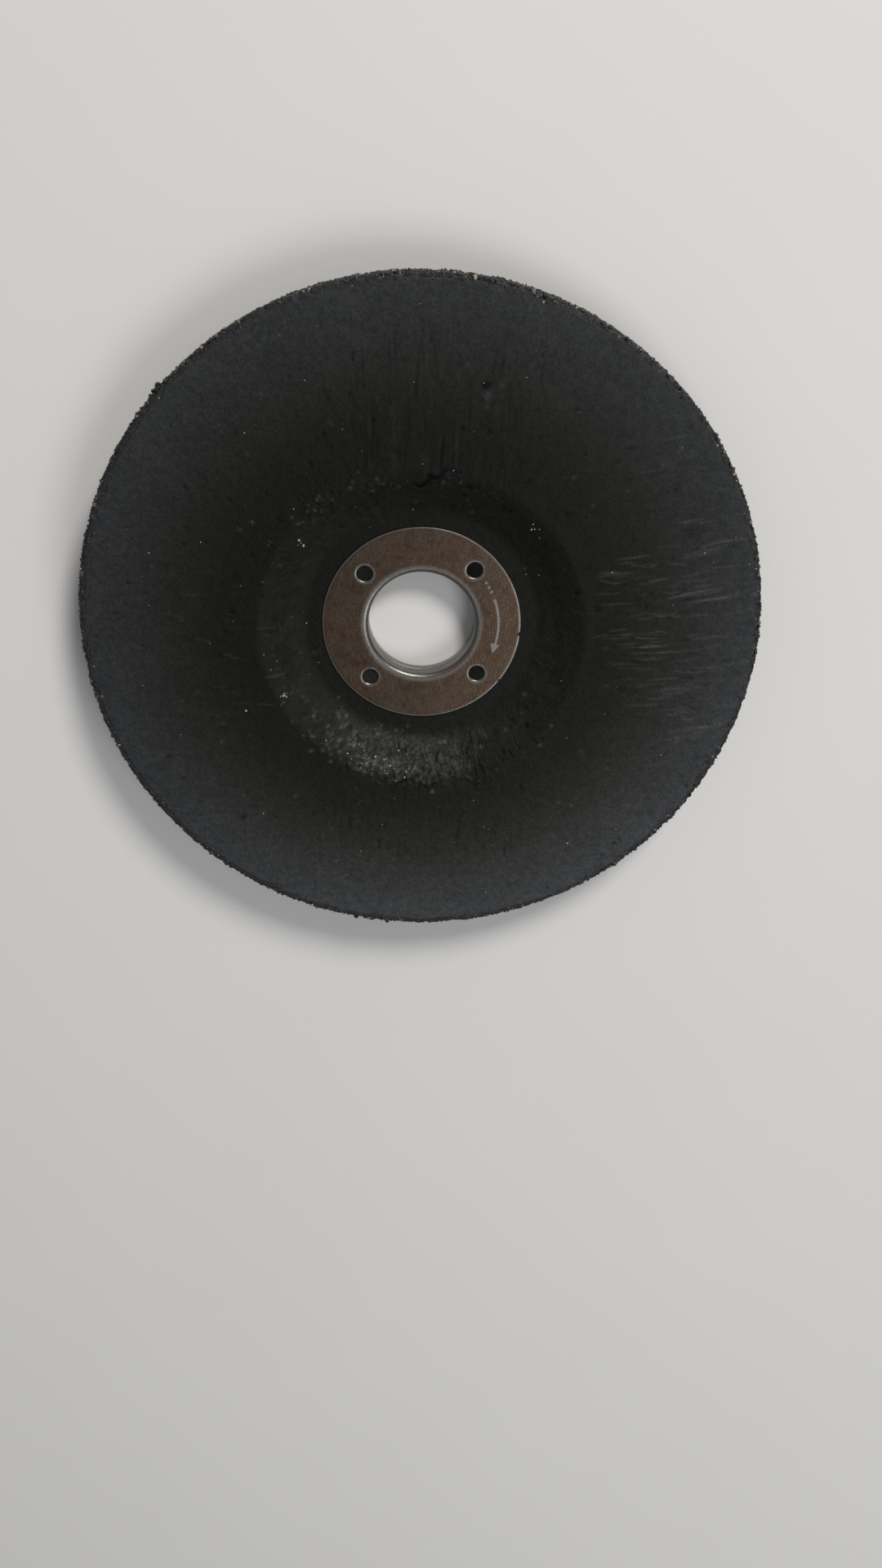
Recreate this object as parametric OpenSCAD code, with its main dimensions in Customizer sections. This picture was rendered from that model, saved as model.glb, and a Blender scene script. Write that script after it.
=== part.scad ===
// Depressed-centre grinding wheel, reinforced with glass mesh and bonded with resin.
// The wheel lies with its raised hub down and its recessed grinding face up.
// The origin is on the bore's axis, in the plane of the rear seating face. +Z points out of the recess.

/* [Wheel] */
// Outside diameter
wheel_d = 100; // [99:1:110]
// Diameter of the arbor bore
bore_d = 16; // [15:0.1:17]
// Depth from the grinding face down to the recess floor
recess_depth = 4.6; // [3.6:0.1:5]
// Diameter of the flat floor of the recess
recess_d = 34.4; // [33:0.1:38]
// Diameter where the slope of the recess meets the flat grinding face
shoulder_d = 49; // [46:0.5:56]

/* [Layers] */
// Thickness of the grinding layer, from the middle mesh up to the facing
grinding_t = 1.8; // [1.5:0.05:2.2]
// Thickness of the rear layer, from the label up to the grinding layer
rear_t = 1.76; // [1.6:0.02:2.2]
// Thickness of the facing sheet and of the label
sheet_t = 0.12; // [0.08:0.01:0.2]
// Width of the abrasive edge that the facing leaves bare
bare_edge = 0.8; // [0.4:0.1:2]
// Outside diameter of the label on the rear face
label_d = 70; // [56:1:76]

/* [Glass mesh] */
// Diameter of each mesh disc
mesh_d = 98; // [88:1:98]
// Spacing of the yarns, centre to centre
mesh_pitch = 5.2; // [5:0.1:5.4]
// Width of a weft yarn
weft_w = 1.1; // [0.6:0.05:1.2]
// Width of each warp yarn of a pair
warp_w = 0.65; // [0.4:0.05:0.9]
// Thickness of a yarn
yarn_t = 0.14; // [0.1:0.01:0.16]

/* [Steel rings] */
// Thickness of the steel sheet
steel_t = 0.3; // [0.25:0.01:0.4]
// Outside radius of the bend between flange and tube
bend_r = 0.75; // [0.6:0.05:0.9]
// Outside diameter of the front flange
front_flange_d = 29.8; // [28:0.1:32]
// Outside diameter of the rear flange
rear_flange_d = 26; // [22:0.5:30]
// Height of the seam where the two tubes meet, above the rear seat
seam_z = 2; // [1.6:0.05:2.6]
// Gap between the two tubes at the seam
seam_gap = 0.1; // [0.05:0.01:0.2]
// Number of pierced holes in the front flange
pierced_count = 4; // [3:1:4]
// Diameter of the circle that the pierced holes lie on
pierced_pcd = 23; // [22.6:0.1:23.6]
// Clear diameter of a pierced hole
pierced_d = 2.2; // [1.8:0.1:2.2]
// Length of the lip turned in round a pierced hole, from the flange's top
lip_len = 1.1; // [0.9:0.1:1.3]

/* [Hidden] */
$fn = 96;
slope_steps = 6; // straight stretches that stand for the curved slope of the recess
eps = 0.5; // how far a cutting shape runs past what it cuts

wheel_r = wheel_d / 2;
bore_r = bore_d / 2;
mesh_r = mesh_d / 2;
tube_r = bore_r + steel_t;
bend_edge_r = bore_r + bend_r;
mesh_t = 3 * yarn_t;

// Heights at the hub, where every layer is flat. Each layer rises by recess_depth across the slope.
label_z = steel_t;
rear_layer_z = label_z + sheet_t;
grinding_z = rear_layer_z + rear_t;
facing_z = grinding_z + grinding_t;
middle_mesh_z = grinding_z - mesh_t;
floor_z = facing_z + sheet_t;
flange_top_z = floor_z + steel_t;

// The lip round a pierced hole is drawn from the flange's sheet, so it is thinner.
lip_t = 0.25;
lip_bend_r = 0.35;
pierced_r = pierced_d / 2;
lip_r = pierced_r + lip_t;
lip_edge_r = pierced_r + lip_bend_r;
plug_drop = 0.6; // how far below the flange's top the compound inside a pierced hole ends
pierced_angle = 47;

// Marks pressed into the front flange: a curved arrow and a row of dots
stamp_depth = 0.08;
stamp_r = 11.6;
stamp_angle = -16;
arrow_w = 0.4;
arrow_sweep = 36;
arrow_head = 1.5;
dot_d = 0.5;
dot_count = 3;
dot_step = 4;
// Angle from the arrow's tail towards the first dot, less one step, and how far the head laps the shaft
dot_lead = 2;
head_lap = 0.1;

// Height of the slope above the hub, from 0 at its foot to recess_depth at its shoulder
function slope_z(t) = recess_depth * (1 - cos(180 * t)) / 2;

// The curve that every layer follows, as [radius, height] from r_in out to r_out, lifted by z
function dish_curve(r_in, r_out, z) = concat(
    [[r_in, z]],
    [for (i = [0 : slope_steps])
        let (t = i / slope_steps)
        [(recess_d + t * (shoulder_d - recess_d)) / 2, z + slope_z(t)]],
    [[r_out, z + recess_depth]]
);

function reversed(list) = [for (i = [len(list) - 1 : -1 : 0]) list[i]];

// A dished disc t thick, with a hole whose wall is upright
module dished_sheet(r_in, r_out, z, t) {
    rotate_extrude()
        polygon(concat(dish_curve(r_in, r_out, z), reversed(dish_curve(r_in, r_out, z + t))));
}

// One set of parallel yarns that follow the dish from height z up, as separate solids
module yarns(z, width, shift, angle) {
    count = floor(mesh_d / 2 / mesh_pitch);
    intersection() {
        dished_sheet(bend_edge_r, mesh_r, z, yarn_t);
        rotate(angle)
            for (i = [-count : count])
                translate([-wheel_r, i * mesh_pitch + shift - width / 2, 0])
                    cube([wheel_d, width, flange_top_z + recess_depth]);
    }
}

// A leno mesh in three levels. Each pair of warp yarns holds the weft between one above and one below.
module lower_warp(z) yarns(z, warp_w, -warp_w / 2, 90);

module weft(z) yarns(z + yarn_t, weft_w, 0, 0);

module upper_warp(z) yarns(z + 2 * yarn_t, warp_w, warp_w / 2, 90);

// Places its children at each pierced hole of the front flange.
module at_pierced_holes() {
    for (i = [0 : pierced_count - 1])
        rotate(pierced_angle + i * 360 / pierced_count)
            translate([pierced_pcd / 2, 0, 0])
                children();
}

// Half section of sheet that bends from a flange at height top down into a tube of inner radius r
module bend_section(r, radius, t, top) {
    translate([r + radius, top - radius])
        intersection() {
            difference() {
                circle(r = radius);
                circle(r = radius - t);
            }
            translate([-radius, 0]) square(radius);
        }
}

// Half section of a whole ring: flange, bend and tube. The flange's top is at height top.
module ring_section(flange_r, top, tube_len) {
    translate([bend_edge_r, top - steel_t]) square([flange_r - bend_edge_r, steel_t]);
    bend_section(bore_r, bend_r, steel_t, top);
    translate([bore_r, top - tube_len]) square([steel_t, tube_len - bend_r]);
}

// Lip turned in round one pierced hole, as a small tube with a rounded mouth
module pierced_lip() {
    rotate_extrude() {
        bend_section(pierced_r, lip_bend_r, lip_t, flange_top_z);
        translate([pierced_r, flange_top_z - lip_len]) square([lip_t, lip_len - lip_bend_r]);
    }
}

// Space that one lip takes up in the compound, with the hollow above the plug inside it
module lip_pocket() {
    translate([0, 0, flange_top_z - lip_len])
        difference() {
            cylinder(r = lip_r, h = lip_len + eps);
            translate([0, 0, -eps])
                cylinder(r = pierced_r, h = lip_len - plug_drop + eps);
        }
}

// The pressed marks, as a solid to cut from the front flange
module stamp() {
    sweep_end = wheel_r * [cos(arrow_sweep), sin(arrow_sweep)];
    translate([0, 0, flange_top_z - stamp_depth])
        rotate(stamp_angle)
            linear_extrude(stamp_depth + eps) {
                intersection() {
                    difference() {
                        circle(r = stamp_r + arrow_w / 2);
                        circle(r = stamp_r - arrow_w / 2);
                    }
                    polygon([[0, 0], [wheel_r, 0], sweep_end]);
                }
                translate([stamp_r, 0])
                    polygon([[-arrow_head / 2, head_lap], [0, -arrow_head], [arrow_head / 2, head_lap]]);
                for (i = [1 : dot_count])
                    rotate(arrow_sweep + dot_lead + dot_step * i) translate([stamp_r, 0]) circle(d = dot_d);
            }
}

module front_ring() {
    color("rosybrown") {
        difference() {
            rotate_extrude()
                ring_section(front_flange_d / 2, flange_top_z, flange_top_z - seam_z - seam_gap / 2);
            at_pierced_holes()
                translate([0, 0, floor_z - eps])
                    cylinder(r = lip_edge_r, h = steel_t + 2 * eps);
            stamp();
        }
        at_pierced_holes() pierced_lip();
    }
}

module rear_ring() {
    color("silver")
        mirror([0, 0, 1])
            rotate_extrude()
                ring_section(rear_flange_d / 2, 0, seam_z - seam_gap / 2);
}

module facing() {
    color("dimgray")
        difference() {
            dished_sheet(bend_edge_r, wheel_r - bare_edge, facing_z, sheet_t);
            at_pierced_holes()
                translate([0, 0, facing_z - eps])
                    cylinder(r = lip_edge_r, h = sheet_t + 2 * eps);
        }
}

// The layer's hole is bevelled at the top, where the front ring bends.
module grinding_layer() {
    hub_edge = [[bend_edge_r, facing_z], [tube_r, flange_top_z - bend_r], [tube_r, grinding_z]];
    lower = dish_curve(bend_edge_r, wheel_r, grinding_z);
    upper = dish_curve(bend_edge_r, wheel_r, facing_z);
    color("darkslategray")
        difference() {
            rotate_extrude() polygon(concat(hub_edge, lower, reversed(upper)));
            at_pierced_holes() lip_pocket();
        }
}

// The layer has a shallow pan on each side that takes a mesh. A raised rim and hub edge close each pan.
module rear_layer() {
    rim_z = rear_layer_z + recess_depth;
    hub_edge = [[bend_edge_r, grinding_z], [tube_r, grinding_z], [tube_r, bend_r], [bend_edge_r, rear_layer_z]];
    lower = dish_curve(bend_edge_r, mesh_r, rear_layer_z + mesh_t);
    rim = [[mesh_r, rim_z], [wheel_r, rim_z], [wheel_r, rim_z + rear_t], [mesh_r, rim_z + rear_t]];
    upper = dish_curve(bend_edge_r, mesh_r, grinding_z - mesh_t);
    color("darkslategray")
        rotate_extrude() polygon(concat(hub_edge, lower, rim, reversed(upper)));
}

module label() {
    color("firebrick") dished_sheet(bend_edge_r, label_d / 2, label_z, sheet_t);
}

front_ring();
rear_ring();
facing();
grinding_layer();
color("wheat") upper_warp(middle_mesh_z);  // middle_mesh_upper_warp
color("wheat") weft(middle_mesh_z);  // middle_mesh_weft
color("wheat") lower_warp(middle_mesh_z);  // middle_mesh_lower_warp
rear_layer();
color("wheat") upper_warp(rear_layer_z);  // rear_mesh_upper_warp
color("wheat") weft(rear_layer_z);  // rear_mesh_weft
color("wheat") lower_warp(rear_layer_z);  // rear_mesh_lower_warp
label();
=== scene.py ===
"""Looks of the depressed-centre grinding wheel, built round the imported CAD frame.

Lengths in the code are metres. MM turns millimetres into metres. Angles are measured from +X towards +Y.
Nearly every piece is a body of revolution with a hole, so it is built as a closed loop of rings whose points
are moved by noise, creases or grain.
"""

import itertools
import math

import bpy
import numpy as np
from mathutils import Matrix, Vector


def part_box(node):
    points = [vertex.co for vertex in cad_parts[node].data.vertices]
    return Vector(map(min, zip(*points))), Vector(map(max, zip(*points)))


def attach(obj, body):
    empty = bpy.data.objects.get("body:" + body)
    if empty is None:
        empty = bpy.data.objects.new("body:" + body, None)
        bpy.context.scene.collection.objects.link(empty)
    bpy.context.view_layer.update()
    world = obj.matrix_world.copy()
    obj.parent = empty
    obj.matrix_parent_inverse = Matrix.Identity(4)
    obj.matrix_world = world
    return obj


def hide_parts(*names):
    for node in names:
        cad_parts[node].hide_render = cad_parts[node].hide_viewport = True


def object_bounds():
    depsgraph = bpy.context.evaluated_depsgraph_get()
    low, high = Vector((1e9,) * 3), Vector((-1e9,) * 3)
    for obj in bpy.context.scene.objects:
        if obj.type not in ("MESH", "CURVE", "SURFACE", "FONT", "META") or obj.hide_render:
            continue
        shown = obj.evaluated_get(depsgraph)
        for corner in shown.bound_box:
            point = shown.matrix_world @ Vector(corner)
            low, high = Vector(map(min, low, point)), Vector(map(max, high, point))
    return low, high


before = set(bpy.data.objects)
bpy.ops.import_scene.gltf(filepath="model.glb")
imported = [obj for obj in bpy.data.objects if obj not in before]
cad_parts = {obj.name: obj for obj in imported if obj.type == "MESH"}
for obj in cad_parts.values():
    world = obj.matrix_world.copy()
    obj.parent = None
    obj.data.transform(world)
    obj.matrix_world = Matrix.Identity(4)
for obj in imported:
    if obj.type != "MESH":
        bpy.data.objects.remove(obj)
cad_low, cad_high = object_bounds()

MM = 0.001
TAU = 2 * math.pi

# -------- sizes, read from the CAD frame

ring_low, ring_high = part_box("front_ring")
_, rear_ring_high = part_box("rear_ring")
facing_low, facing_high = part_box("facing")
label_low, label_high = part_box("label")
rear_low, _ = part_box("rear_layer")
grinding_low, grinding_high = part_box("grinding_layer")
_, mesh_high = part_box("rear_mesh_weft")
yarn_low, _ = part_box("rear_mesh_lower_warp")

BORE_R = 8.0 * MM
BEND_R = 0.75 * MM  # outside of the bend between a flange and its tube
STEEL_T = 0.3 * MM
BEND_EDGE_R = BORE_R + BEND_R  # where the bend meets the flat flange
TUBE_R = BORE_R + STEEL_T  # outside of the steel tubes in the bore
WHEEL_R = cad_high.x
FACING_R = facing_high.x
LABEL_R = label_high.x
MESH_R = mesh_high.x
FLANGE_TOP = ring_high.z
FLOOR_Z = FLANGE_TOP - STEEL_T
FACING_TOP = facing_high.z
RECESS_DEPTH = FACING_TOP - FLOOR_Z
FLOOR_R = 17.2 * MM  # edge of the flat floor of the recess
SHOULDER_R = 24.5 * MM  # where the slope of the recess meets the flat face
LABEL_Z = label_low.z
LABEL_T = rear_low.z - label_low.z
GRINDING_Z = grinding_low.z
REAR_Z = rear_low.z

# Pierced holes in the front flange, with their lips turned in, and the pressed mark between two of them
PIERCED_R = 1.1 * MM
LIP_EDGE_R = PIERCED_R + 0.35 * MM
LIP_T = 0.25 * MM
LIP_LEN = 1.1 * MM
PIERCED_CIRCLE_R = 11.5 * MM
PIERCED_ANGLES = [math.radians(47 + 90 * i) for i in range(4)]
PIERCED_PLACES = [(PIERCED_CIRCLE_R * math.cos(a), PIERCED_CIRCLE_R * math.sin(a)) for a in PIERCED_ANGLES]
MARK_R = 11.6 * MM
MARK_START = math.radians(-16)
MARK_SWEEP = math.radians(36)
MARK_DEPTH = 0.08 * MM

# Small nicks in the flange's edge: angle in degrees, size in millimetres
NICKS = [(-5.7, 0.42), (-37.0, 0.34), (-41.0, 0.22)]

# -------- numbers and noise


def smooth(low, high, x):
    """0 below low, 1 above high, and a smooth rise between."""
    t = np.clip((x - low) / (high - low), 0, 1)
    return t * t * (3 - 2 * t)


def bump_between(low, high, fade, x):
    """1 between low and high, falling to 0 over fade on both sides."""
    return smooth(low - fade, low, x) * (1 - smooth(high, high + fade, x))


def lattice(cell, seed):
    """A random number from -1 to 1 for each whole-number cell. The large numbers only scramble the bits."""
    x, y, z = (cell[..., i].astype(np.int64) for i in range(3))
    h = (x * 73856093) ^ (y * 19349663) ^ (z * 83492791) ^ (seed * 2654435761)
    h = ((h & 0xFFFFFFFF) ^ ((h & 0xFFFFFFFF) >> 13)) * 1274126177 & 0xFFFFFFFF
    h = (h ^ (h >> 16)) * 2246822519 & 0xFFFFFFFF
    return ((h >> 8) & 0xFFFF) / 32767.5 - 1


def noise(points, scale, seed):
    """Smooth noise from -1 to 1 at points, whose features are about scale across."""
    p = points / scale
    cell = np.floor(p)
    f = p - cell
    f = f * f * (3 - 2 * f)
    total = 0
    for corner in itertools.product((0, 1), repeat=3):
        side = np.array(corner)
        weight = np.prod(np.where(side, f, 1 - f), axis=-1)
        total = total + weight * lattice(cell + side, seed)
    return total


def rough(points, scale, seed, octaves=3):
    """Noise with finer and fainter copies of itself on top."""
    return sum(noise(points, scale / 2**k, seed + k) / 2**k for k in range(octaves))


def full_turn(count):
    """Angles spread evenly round a circle."""
    return np.linspace(0, TAU, count, endpoint=False)


def around(r, angle, z=0.0):
    """Points at radius r and an angle, with height z."""
    r, angle, z = np.broadcast_arrays(r, angle, z)
    return np.stack([r * np.cos(angle), r * np.sin(angle), z], axis=-1)


def dish(r):
    """Height of every layer above its height at the hub."""
    t = np.clip((r - FLOOR_R) / (SHOULDER_R - FLOOR_R), 0, 1)
    return RECESS_DEPTH * (1 - np.cos(math.pi * t)) / 2


# -------- meshes


def new_object(name, vertices, faces, materials, body="root", smooth_faces=True):
    mesh = bpy.data.meshes.new(name)
    mesh.from_pydata(np.asarray(vertices).reshape(-1, 3).tolist(), [], faces)
    mesh.validate()
    mesh.update()
    for m in materials:
        mesh.materials.append(m)
    mesh.polygons.foreach_set("use_smooth", [smooth_faces] * len(mesh.polygons))
    piece = bpy.data.objects.new(name, mesh)
    bpy.context.scene.collection.objects.link(piece)
    if body:
        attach(piece, body)
    return piece


def ring_faces(rings, count):
    """Quads that join each ring of count points to the next, and the last ring to the first."""
    a = np.arange(rings)[:, None] * count
    b = (np.arange(rings)[:, None] + 1) % rings * count
    i = np.arange(count)[None, :]
    j = (i + 1) % count
    return np.stack([a + i, a + j, b + j, b + i], axis=-1).reshape(-1, 4).tolist()


def ring_solid(name, rings, materials):
    """A closed solid from rings of points, anticlockwise in section with the axis on the left."""
    return new_object(name, np.concatenate(rings), ring_faces(len(rings), len(rings[0])), materials)


def arc(centre, radius, start, end, steps):
    """Points of an arc in a half section, as (r, z)."""
    turns = np.linspace(math.radians(start), math.radians(end), steps + 1)
    return [(centre[0] + radius * math.cos(t), centre[1] + radius * math.sin(t)) for t in turns]


def revolve(profile, angles):
    """Rings of a closed half section given as (r, z) points."""
    return [around(r, angles, z) for r, z in profile]


def cut(piece, cutter):
    """Takes another object's shape out of piece, and deletes that object."""
    modifier = piece.modifiers.new("cut", "BOOLEAN")
    modifier.operation = "DIFFERENCE"
    modifier.solver = "EXACT"
    modifier.object = cutter
    evaluated = piece.evaluated_get(bpy.context.evaluated_depsgraph_get())
    mesh = bpy.data.meshes.new_from_object(evaluated)
    piece.modifiers.clear()
    piece.data = mesh
    bpy.data.objects.remove(cutter)


# -------- material nodes

# Sockets of a Mix node that mixes colours
MIX_A, MIX_B, MIX_OUT = 6, 7, 2


class Nodes:
    """Short names for the few shader nodes that the materials use."""

    def __init__(self, name):
        self.material = bpy.data.materials.new(name)
        self.material.use_nodes = True
        self.tree = self.material.node_tree
        self.shader = self.tree.nodes["Principled BSDF"]
        self.place = self.tree.nodes.new("ShaderNodeTexCoord").outputs["Object"]

    def link(self, value, socket):
        if hasattr(value, "is_output"):
            self.tree.links.new(value, socket)
        else:
            socket.default_value = value

    def node(self, kind, **settings):
        made = self.tree.nodes.new("ShaderNode" + kind)
        for key, value in settings.items():
            setattr(made, key, value)
        return made

    def fill(self, made, **values):
        """Links or sets a node's inputs, whose names have _ for a space."""
        for key, value in values.items():
            self.link(value, made.inputs[key.replace("_", " ")])

    def math(self, operation, *values, clamp=False):
        made = self.node("Math", operation=operation, use_clamp=clamp)
        for value, socket in zip(values, made.inputs):
            self.link(value, socket)
        return made.outputs[0]

    def times(self, *values, clamp=False):
        return self.math("MULTIPLY", *values, clamp=clamp)

    def stretch(self, scale):
        """The place of the point, scaled along each axis."""
        made = self.node("Mapping", vector_type="TEXTURE")
        self.fill(made, Vector=self.place, Scale=scale)
        return made.outputs[0]

    def noise(self, size, detail=3.0, roughness=0.5, distortion=0.0, at=None):
        """Noise from 0 to 1 with features about size across."""
        made = self.node("TexNoise")
        self.fill(made, Vector=at or self.place, Scale=1 / size, Detail=detail)
        self.fill(made, Roughness=roughness, Distortion=distortion)
        return made.outputs["Fac"]

    def cells(self, size, output="Distance"):
        """Cells about size across: the distance from the nearest cell's middle, or a colour for each cell."""
        made = self.node("TexVoronoi", feature="F1")
        self.fill(made, Vector=self.place, Scale=1 / size)
        return made.outputs[output]

    def step(self, value, low, high):
        """0 below low and 1 above high, or the other way round where low is above high."""
        made = self.node("MapRange", interpolation_type="SMOOTHSTEP")
        first, last = (0.0, 1.0) if low <= high else (1.0, 0.0)
        self.fill(made, Value=value, From_Min=min(low, high), From_Max=max(low, high))
        self.fill(made, To_Min=first, To_Max=last)
        return made.outputs[0]

    def between(self, value, low, high):
        """Value from 0 to 1, spread over low to high."""
        made = self.node("MapRange")
        self.fill(made, Value=value, To_Min=low, To_Max=high)
        return made.outputs[0]

    def mix(self, share, first, second):
        """A colour between two colours."""
        made = self.node("Mix", data_type="RGBA")
        self.link(share, made.inputs["Factor"])
        for value, socket in ((first, made.inputs[MIX_A]), (second, made.inputs[MIX_B])):
            self.link(value if hasattr(value, "is_output") else (*value, 1.0), socket)
        return made.outputs[MIX_OUT]

    def shaded(self, color, share):
        """A colour multiplied by a number."""
        grey = self.node("CombineColor")
        for i in range(3):
            self.link(share, grey.inputs[i])
        made = self.node("Mix", data_type="RGBA", blend_type="MULTIPLY")
        made.inputs["Factor"].default_value = 1.0
        self.link(color, made.inputs[MIX_A])
        self.link(grey.outputs[0], made.inputs[MIX_B])
        return made.outputs[MIX_OUT]

    def flat(self):
        """The place of the point, seen along the wheel's axis."""
        parts = self.node("SeparateXYZ")
        self.link(self.place, parts.inputs[0])
        made = self.node("CombineXYZ")
        self.link(parts.outputs[0], made.inputs[0])
        self.link(parts.outputs[1], made.inputs[1])
        return made.outputs[0]

    def radius(self):
        """Distance of the point from the wheel's axis."""
        made = self.node("VectorMath", operation="LENGTH")
        self.link(self.flat(), made.inputs[0])
        return made.outputs["Value"]

    def near(self, x, y):
        """Distance of the point from a line parallel to the axis."""
        made = self.node("VectorMath", operation="DISTANCE")
        self.link(self.flat(), made.inputs[0])
        made.inputs[1].default_value = (x, y, 0)
        return made.outputs["Value"]

    def bump(self, height, depth, before=None):
        """A bump whose height runs from 0 to 1 over depth."""
        made = self.node("Bump")
        self.fill(made, Strength=1.0, Distance=depth, Height=height)
        if before:
            self.fill(made, Normal=before)
        return made.outputs[0]

    def finish(self, color, roughness, normal=None, **fixed):
        """Links the shader. Values that are the same all over the surface are set on its own sockets."""
        self.fill(self.shader, Base_Color=color, Roughness=roughness, **fixed)
        if normal:
            self.fill(self.shader, Normal=normal)
        return self.material


def facing_ground(n, blotch, patch, fibre):
    """Colour before the marks: painted shade blackens the recess and painted sheen greys and cools the rim.
    """
    r = n.radius()
    # Painted light: black in the recess stands in for its shade, grey and cool towards the rim for sheen
    outer = n.step(r, 25.5 * MM, 60 * MM)
    warm = n.mix(blotch, (0.0042, 0.0042, 0.0031), (0.0068, 0.0068, 0.0052))
    painted_rim_sheen = n.step(r, 33 * MM, 50 * MM)
    cool = n.mix(blotch, (0.036, 0.0375, 0.0395), (0.048, 0.0505, 0.0535))
    cool = n.mix(painted_rim_sheen, n.mix(blotch, (0.037, 0.0375, 0.0345), (0.049, 0.0495, 0.0455)), cool)
    ground = n.mix(outer, warm, cool)
    # The slope of the recess is olive in patches, paler olive at the top and right, and rubbed pale at the
    # bottom
    slope_outside = n.step(r, 26 * MM, 22.5 * MM)
    slope = n.times(n.step(r, 17.5 * MM, 20 * MM), slope_outside)
    inner_slope = n.times(slope, n.step(r, 24.6 * MM, 21.2 * MM))
    # Top and right of the slope: partly scuffed, partly painted light where it faces away from the key light
    scuff_and_painted_light = n.times(inner_slope, n.step(n.near(4 * MM, 12 * MM), 30 * MM, 14 * MM))
    ground = n.mix(n.times(scuff_and_painted_light, 0.9), ground, (0.0172, 0.0168, 0.0128))
    olive = n.times(inner_slope, n.between(n.step(patch, 0.34, 0.66), 0.30, 0.72))
    ground = n.mix(olive, ground, (0.0175, 0.0170, 0.0125))
    rubbed = n.times(slope, n.step(n.near(-2.5 * MM, -20.5 * MM), 14 * MM, 4 * MM))
    rubbed = n.times(rubbed, n.step(n.noise(1.1 * MM, 4.0, 0.65), 0.34, 0.60))
    pale = n.mix(n.step(fibre, 0.35, 0.65), (0.010, 0.0105, 0.010), (0.032, 0.033, 0.031))
    return n.mix(rubbed, ground, pale)


def facing_material():
    """Dark sheet with lint: creases rubbed pale and given painted highlight, pits and cracks given painted
    shade, one side painted sheen.
    """
    n = Nodes("facing_black")
    blotch = n.noise(7 * MM, 4.0, 0.55)
    patch = n.noise(2.4 * MM, 3.0, 0.6, 0.4)
    fibre = n.noise(0.42 * MM, 3.0, 0.6)
    ground = facing_ground(n, blotch, patch, fibre)
    wear_and_painted_light = n.node("Attribute", attribute_name="wear_and_painted_light").outputs["Fac"]
    # Positive values: rubbed paleness and painted highlight on crests, lips and lumps
    ground = n.mix(n.times(wear_and_painted_light, 0.75, clamp=True), ground, (0.072, 0.074, 0.072))
    # Negative values: painted shade in pits, cracks, tears and troughs
    sunk = n.times(wear_and_painted_light, -0.9, clamp=True)
    ground = n.mix(sunk, ground, (0.0012, 0.0012, 0.0012))
    lint = n.step(n.cells(0.8 * MM), 0.15, 0.06)
    lint = n.times(lint, n.step(n.noise(3 * MM, 2.0), 0.53, 0.63))
    ground = n.mix(n.times(lint, 0.5), ground, (0.06, 0.06, 0.055))
    coarse = n.step(n.noise(1.0 * MM, 3.0, 0.6, 0.3), 0.3, 0.7)
    speckle_and_sheen = n.times(n.between(n.step(fibre, 0.3, 0.7), 0.80, 1.2), n.between(coarse, 0.84, 1.16))
    # Painted sheen: the sheet is paler towards the bottom and lower right, darker towards the top and upper
    # left
    painted_sheen_side = n.step(n.near(10 * MM, -45 * MM), 78 * MM, 10 * MM)
    speckle_and_sheen = n.times(speckle_and_sheen, n.between(painted_sheen_side, 0.82, 1.43))
    roughness = n.between(patch, 0.50, 0.68)
    weave = n.bump(fibre, 0.08 * MM)
    weave = n.bump(coarse, 0.03 * MM, weave)
    pits = n.step(n.cells(1.3 * MM), 0.06, 0.18)
    weave = n.bump(pits, 0.04 * MM, weave)
    return n.finish(n.shaded(ground, speckle_and_sheen), roughness, weave, Specular_IOR_Level=0.15)


def compound_material(name, dark, light, shine):
    """Grain between a dark and a light colour. Its roughness lies between the two values of shine."""
    n = Nodes(name)
    grain = n.cells(0.55 * MM, "Color")
    value = n.node("SeparateColor")
    n.link(grain, value.inputs[0])
    dirt = n.noise(2.5 * MM, 4.0, 0.6)
    color = n.mix(n.step(value.outputs[0], 0.55, 1.0), dark, light)
    color = n.mix(n.times(dirt, 0.5), color, tuple(1.6 * c for c in dark))
    pores = n.noise(0.22 * MM, 4.0, 0.7)
    normal = n.bump(pores, 0.05 * MM)
    roughness = n.between(value.outputs[1], *shine)
    return n.finish(color, roughness, normal, Specular_IOR_Level=0.5)


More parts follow.
